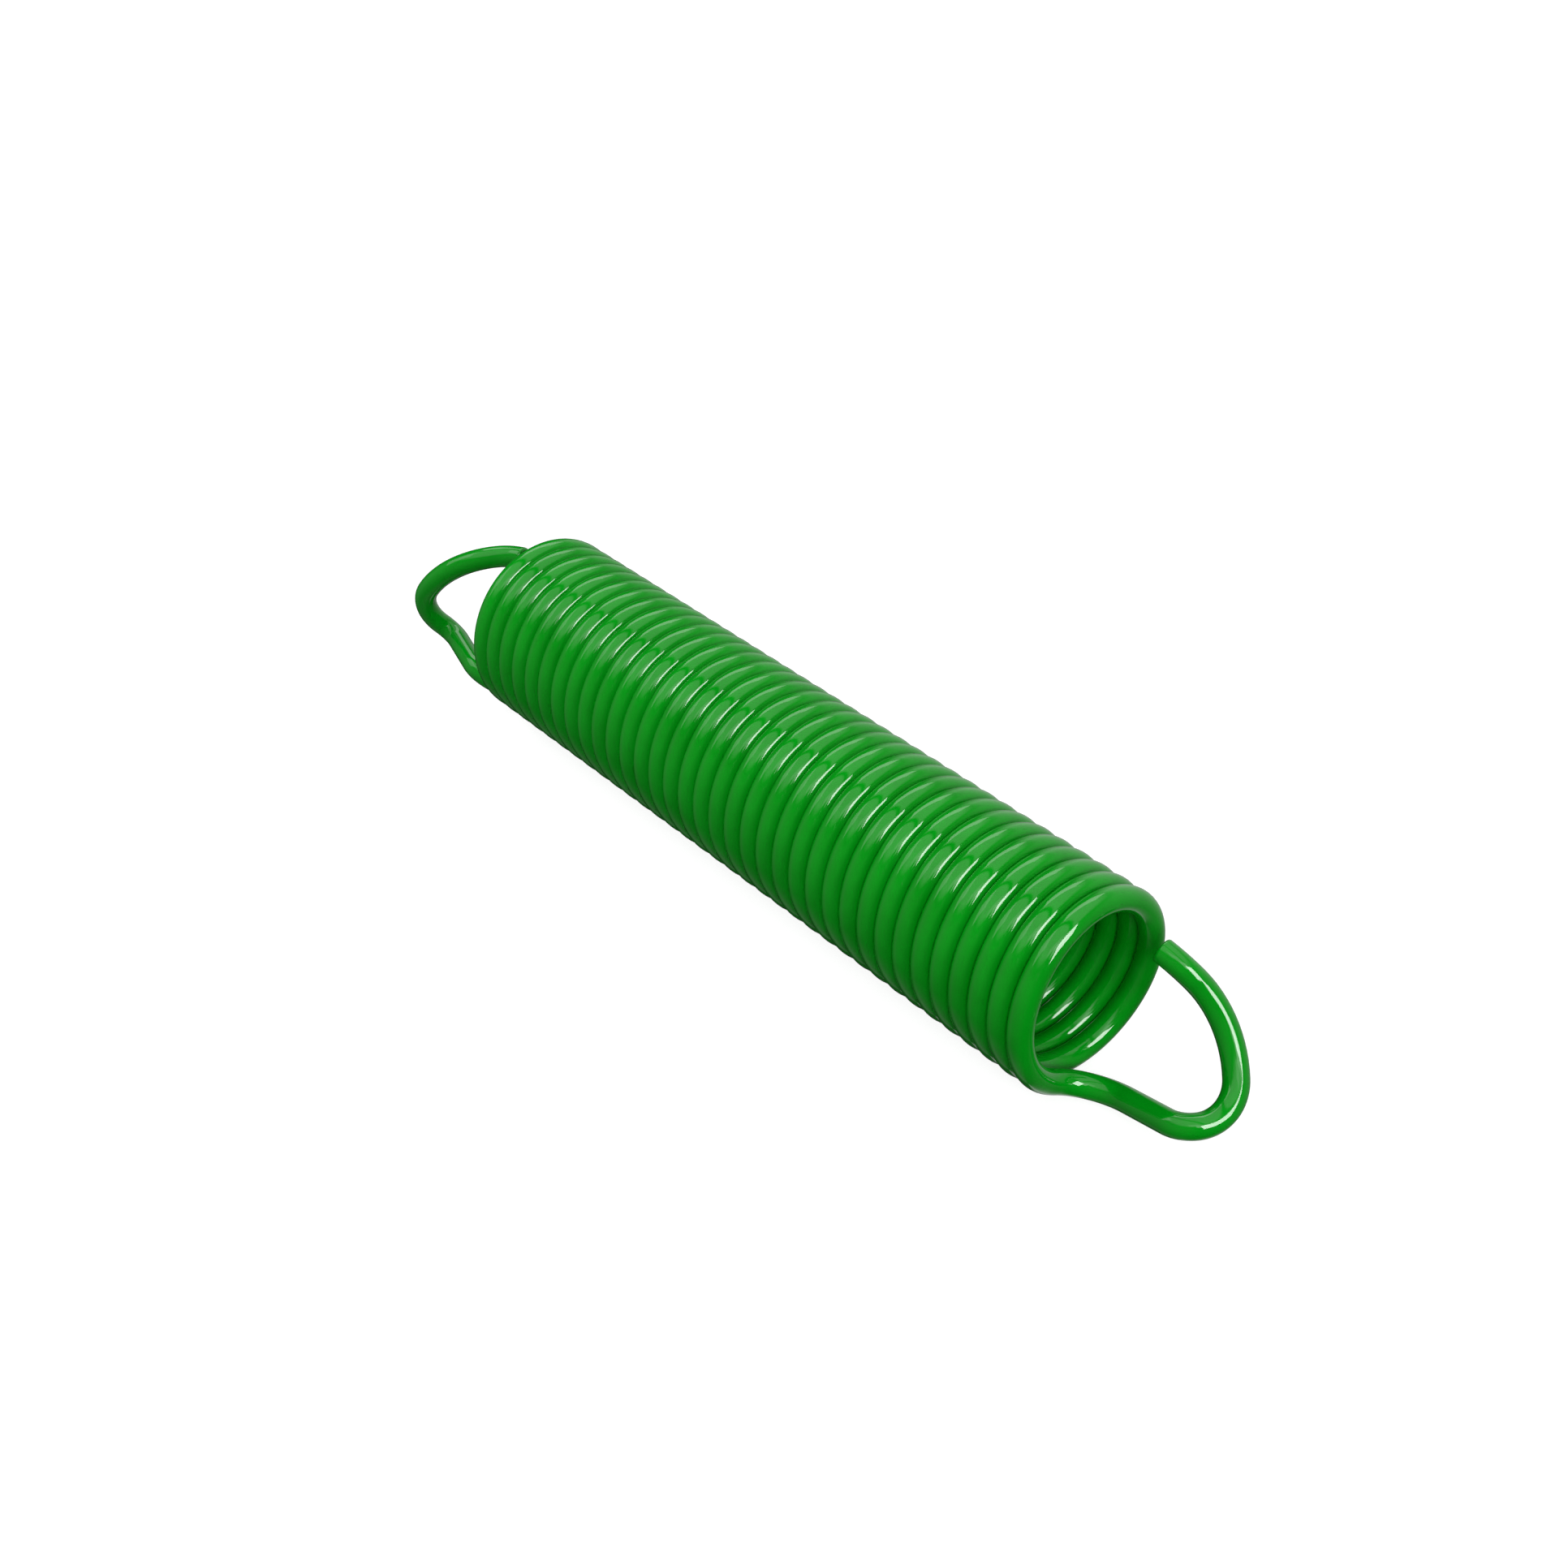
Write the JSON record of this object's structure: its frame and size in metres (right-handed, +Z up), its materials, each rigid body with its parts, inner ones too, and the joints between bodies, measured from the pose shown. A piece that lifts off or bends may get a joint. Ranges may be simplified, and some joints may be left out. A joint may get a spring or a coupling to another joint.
{
  "type": "extension coil spring",
  "caption": "Close-wound extension coil spring in green coated round wire, with an open hook bent out of each end.",
  "frame": {"origin": "middle of the coil, on the coil's axis", "axes": "+X along the coil's axis towards the front hook, +Z up as the spring lies on a surface"},
  "size_m": [0.1187, 0.0212, 0.0212],
  "materials": {
    "green_coated_wire": "gloss"
  },
  "bodies": {
    "rear_hook_body": {"rear_hook": "green_coated_wire"},
    "turn_01_body": {"coil_turn_01": "green_coated_wire"},
    "turn_02_body": {"coil_turn_02": "green_coated_wire"},
    "turn_03_body": {"coil_turn_03": "green_coated_wire"},
    "turn_04_body": {"coil_turn_04": "green_coated_wire"},
    "turn_05_body": {"coil_turn_05": "green_coated_wire"},
    "turn_06_body": {"coil_turn_06": "green_coated_wire"},
    "turn_07_body": {"coil_turn_07": "green_coated_wire"},
    "turn_08_body": {"coil_turn_08": "green_coated_wire"},
    "turn_09_body": {"coil_turn_09": "green_coated_wire"},
    "turn_10_body": {"coil_turn_10": "green_coated_wire"},
    "turn_11_body": {"coil_turn_11": "green_coated_wire"},
    "turn_12_body": {"coil_turn_12": "green_coated_wire"},
    "turn_13_body": {"coil_turn_13": "green_coated_wire"},
    "turn_14_body": {"coil_turn_14": "green_coated_wire"},
    "turn_15_body": {"coil_turn_15": "green_coated_wire"},
    "turn_16_body": {"coil_turn_16": "green_coated_wire"},
    "turn_17_body": {"coil_turn_17": "green_coated_wire"},
    "turn_18_body": {"coil_turn_18": "green_coated_wire"},
    "turn_19_body": {"coil_turn_19": "green_coated_wire"},
    "turn_20_body": {"coil_turn_20": "green_coated_wire"},
    "turn_21_body": {"coil_turn_21": "green_coated_wire"},
    "turn_22_body": {"coil_turn_22": "green_coated_wire"},
    "turn_23_body": {"coil_turn_23": "green_coated_wire"},
    "turn_24_body": {"coil_turn_24": "green_coated_wire"},
    "turn_25_body": {"coil_turn_25": "green_coated_wire"},
    "turn_26_body": {"coil_turn_26": "green_coated_wire"},
    "turn_27_body": {"coil_turn_27": "green_coated_wire"},
    "turn_28_body": {"coil_turn_28": "green_coated_wire"},
    "turn_29_body": {"coil_turn_29": "green_coated_wire"},
    "turn_30_body": {"coil_turn_30": "green_coated_wire"},
    "turn_31_body": {"coil_turn_31": "green_coated_wire"},
    "turn_32_body": {"coil_turn_32": "green_coated_wire"},
    "turn_33_body": {"coil_turn_33": "green_coated_wire"},
    "turn_34_body": {"coil_turn_34": "green_coated_wire"},
    "turn_35_body": {"coil_turn_35": "green_coated_wire", "front_hook": "green_coated_wire"}
  },
  "joints": [
    {"name": "turn_01_opening", "type": "slide", "parent": "rear_hook_body", "child": "turn_01_body", "axis": [1, 0, 0], "range_m": [0, 0.0015], "stiffness_N_per_m": 59600},
    {"name": "turn_02_opening", "type": "slide", "parent": "turn_01_body", "child": "turn_02_body", "axis": [1, 0, 0], "range_m": [0, 0.0015], "stiffness_N_per_m": 59600},
    {"name": "turn_03_opening", "type": "slide", "parent": "turn_02_body", "child": "turn_03_body", "axis": [1, 0, 0], "range_m": [0, 0.0015], "stiffness_N_per_m": 59600},
    {"name": "turn_04_opening", "type": "slide", "parent": "turn_03_body", "child": "turn_04_body", "axis": [1, 0, 0], "range_m": [0, 0.0015], "stiffness_N_per_m": 59600},
    {"name": "turn_05_opening", "type": "slide", "parent": "turn_04_body", "child": "turn_05_body", "axis": [1, 0, 0], "range_m": [0, 0.0015], "stiffness_N_per_m": 59600},
    {"name": "turn_06_opening", "type": "slide", "parent": "turn_05_body", "child": "turn_06_body", "axis": [1, 0, 0], "range_m": [0, 0.0015], "stiffness_N_per_m": 59600},
    {"name": "turn_07_opening", "type": "slide", "parent": "turn_06_body", "child": "turn_07_body", "axis": [1, 0, 0], "range_m": [0, 0.0015], "stiffness_N_per_m": 59600},
    {"name": "turn_08_opening", "type": "slide", "parent": "turn_07_body", "child": "turn_08_body", "axis": [1, 0, 0], "range_m": [0, 0.0015], "stiffness_N_per_m": 59600},
    {"name": "turn_09_opening", "type": "slide", "parent": "turn_08_body", "child": "turn_09_body", "axis": [1, 0, 0], "range_m": [0, 0.0015], "stiffness_N_per_m": 59600},
    {"name": "turn_10_opening", "type": "slide", "parent": "turn_09_body", "child": "turn_10_body", "axis": [1, 0, 0], "range_m": [0, 0.0015], "stiffness_N_per_m": 59600},
    {"name": "turn_11_opening", "type": "slide", "parent": "turn_10_body", "child": "turn_11_body", "axis": [1, 0, 0], "range_m": [0, 0.0015], "stiffness_N_per_m": 59600},
    {"name": "turn_12_opening", "type": "slide", "parent": "turn_11_body", "child": "turn_12_body", "axis": [1, 0, 0], "range_m": [0, 0.0015], "stiffness_N_per_m": 59600},
    {"name": "turn_13_opening", "type": "slide", "parent": "turn_12_body", "child": "turn_13_body", "axis": [1, 0, 0], "range_m": [0, 0.0015], "stiffness_N_per_m": 59600},
    {"name": "turn_14_opening", "type": "slide", "parent": "turn_13_body", "child": "turn_14_body", "axis": [1, 0, 0], "range_m": [0, 0.0015], "stiffness_N_per_m": 59600},
    {"name": "turn_15_opening", "type": "slide", "parent": "turn_14_body", "child": "turn_15_body", "axis": [1, 0, 0], "range_m": [0, 0.0015], "stiffness_N_per_m": 59600},
    {"name": "turn_16_opening", "type": "slide", "parent": "turn_15_body", "child": "turn_16_body", "axis": [1, 0, 0], "range_m": [0, 0.0015], "stiffness_N_per_m": 59600},
    {"name": "turn_17_opening", "type": "slide", "parent": "turn_16_body", "child": "turn_17_body", "axis": [1, 0, 0], "range_m": [0, 0.0015], "stiffness_N_per_m": 59600},
    {"name": "turn_18_opening", "type": "slide", "parent": "turn_17_body", "child": "turn_18_body", "axis": [1, 0, 0], "range_m": [0, 0.0015], "stiffness_N_per_m": 59600},
    {"name": "turn_19_opening", "type": "slide", "parent": "turn_18_body", "child": "turn_19_body", "axis": [1, 0, 0], "range_m": [0, 0.0015], "stiffness_N_per_m": 59600},
    {"name": "turn_20_opening", "type": "slide", "parent": "turn_19_body", "child": "turn_20_body", "axis": [1, 0, 0], "range_m": [0, 0.0015], "stiffness_N_per_m": 59600},
    {"name": "turn_21_opening", "type": "slide", "parent": "turn_20_body", "child": "turn_21_body", "axis": [1, 0, 0], "range_m": [0, 0.0015], "stiffness_N_per_m": 59600},
    {"name": "turn_22_opening", "type": "slide", "parent": "turn_21_body", "child": "turn_22_body", "axis": [1, 0, 0], "range_m": [0, 0.0015], "stiffness_N_per_m": 59600},
    {"name": "turn_23_opening", "type": "slide", "parent": "turn_22_body", "child": "turn_23_body", "axis": [1, 0, 0], "range_m": [0, 0.0015], "stiffness_N_per_m": 59600},
    {"name": "turn_24_opening", "type": "slide", "parent": "turn_23_body", "child": "turn_24_body", "axis": [1, 0, 0], "range_m": [0, 0.0015], "stiffness_N_per_m": 59600},
    {"name": "turn_25_opening", "type": "slide", "parent": "turn_24_body", "child": "turn_25_body", "axis": [1, 0, 0], "range_m": [0, 0.0015], "stiffness_N_per_m": 59600},
    {"name": "turn_26_opening", "type": "slide", "parent": "turn_25_body", "child": "turn_26_body", "axis": [1, 0, 0], "range_m": [0, 0.0015], "stiffness_N_per_m": 59600},
    {"name": "turn_27_opening", "type": "slide", "parent": "turn_26_body", "child": "turn_27_body", "axis": [1, 0, 0], "range_m": [0, 0.0015], "stiffness_N_per_m": 59600},
    {"name": "turn_28_opening", "type": "slide", "parent": "turn_27_body", "child": "turn_28_body", "axis": [1, 0, 0], "range_m": [0, 0.0015], "stiffness_N_per_m": 59600},
    {"name": "turn_29_opening", "type": "slide", "parent": "turn_28_body", "child": "turn_29_body", "axis": [1, 0, 0], "range_m": [0, 0.0015], "stiffness_N_per_m": 59600},
    {"name": "turn_30_opening", "type": "slide", "parent": "turn_29_body", "child": "turn_30_body", "axis": [1, 0, 0], "range_m": [0, 0.0015], "stiffness_N_per_m": 59600},
    {"name": "turn_31_opening", "type": "slide", "parent": "turn_30_body", "child": "turn_31_body", "axis": [1, 0, 0], "range_m": [0, 0.0015], "stiffness_N_per_m": 59600},
    {"name": "turn_32_opening", "type": "slide", "parent": "turn_31_body", "child": "turn_32_body", "axis": [1, 0, 0], "range_m": [0, 0.0015], "stiffness_N_per_m": 59600},
    {"name": "turn_33_opening", "type": "slide", "parent": "turn_32_body", "child": "turn_33_body", "axis": [1, 0, 0], "range_m": [0, 0.0015], "stiffness_N_per_m": 59600},
    {"name": "turn_34_opening", "type": "slide", "parent": "turn_33_body", "child": "turn_34_body", "axis": [1, 0, 0], "range_m": [0, 0.0015], "stiffness_N_per_m": 59600},
    {"name": "turn_35_opening", "type": "slide", "parent": "turn_34_body", "child": "turn_35_body", "axis": [1, 0, 0], "range_m": [0, 0.0015], "stiffness_N_per_m": 59600}
  ],
  "couplings": [
    {"joint": "turn_02_opening", "follows": "turn_01_opening", "ratio": 1},
    {"joint": "turn_03_opening", "follows": "turn_01_opening", "ratio": 1},
    {"joint": "turn_04_opening", "follows": "turn_01_opening", "ratio": 1},
    {"joint": "turn_05_opening", "follows": "turn_01_opening", "ratio": 1},
    {"joint": "turn_06_opening", "follows": "turn_01_opening", "ratio": 1},
    {"joint": "turn_07_opening", "follows": "turn_01_opening", "ratio": 1},
    {"joint": "turn_08_opening", "follows": "turn_01_opening", "ratio": 1},
    {"joint": "turn_09_opening", "follows": "turn_01_opening", "ratio": 1},
    {"joint": "turn_10_opening", "follows": "turn_01_opening", "ratio": 1},
    {"joint": "turn_11_opening", "follows": "turn_01_opening", "ratio": 1},
    {"joint": "turn_12_opening", "follows": "turn_01_opening", "ratio": 1},
    {"joint": "turn_13_opening", "follows": "turn_01_opening", "ratio": 1},
    {"joint": "turn_14_opening", "follows": "turn_01_opening", "ratio": 1},
    {"joint": "turn_15_opening", "follows": "turn_01_opening", "ratio": 1},
    {"joint": "turn_16_opening", "follows": "turn_01_opening", "ratio": 1},
    {"joint": "turn_17_opening", "follows": "turn_01_opening", "ratio": 1},
    {"joint": "turn_18_opening", "follows": "turn_01_opening", "ratio": 1},
    {"joint": "turn_19_opening", "follows": "turn_01_opening", "ratio": 1},
    {"joint": "turn_20_opening", "follows": "turn_01_opening", "ratio": 1},
    {"joint": "turn_21_opening", "follows": "turn_01_opening", "ratio": 1},
    {"joint": "turn_22_opening", "follows": "turn_01_opening", "ratio": 1},
    {"joint": "turn_23_opening", "follows": "turn_01_opening", "ratio": 1},
    {"joint": "turn_24_opening", "follows": "turn_01_opening", "ratio": 1},
    {"joint": "turn_25_opening", "follows": "turn_01_opening", "ratio": 1},
    {"joint": "turn_26_opening", "follows": "turn_01_opening", "ratio": 1},
    {"joint": "turn_27_opening", "follows": "turn_01_opening", "ratio": 1},
    {"joint": "turn_28_opening", "follows": "turn_01_opening", "ratio": 1},
    {"joint": "turn_29_opening", "follows": "turn_01_opening", "ratio": 1},
    {"joint": "turn_30_opening", "follows": "turn_01_opening", "ratio": 1},
    {"joint": "turn_31_opening", "follows": "turn_01_opening", "ratio": 1},
    {"joint": "turn_32_opening", "follows": "turn_01_opening", "ratio": 1},
    {"joint": "turn_33_opening", "follows": "turn_01_opening", "ratio": 1},
    {"joint": "turn_34_opening", "follows": "turn_01_opening", "ratio": 1},
    {"joint": "turn_35_opening", "follows": "turn_01_opening", "ratio": 1}
  ]
}
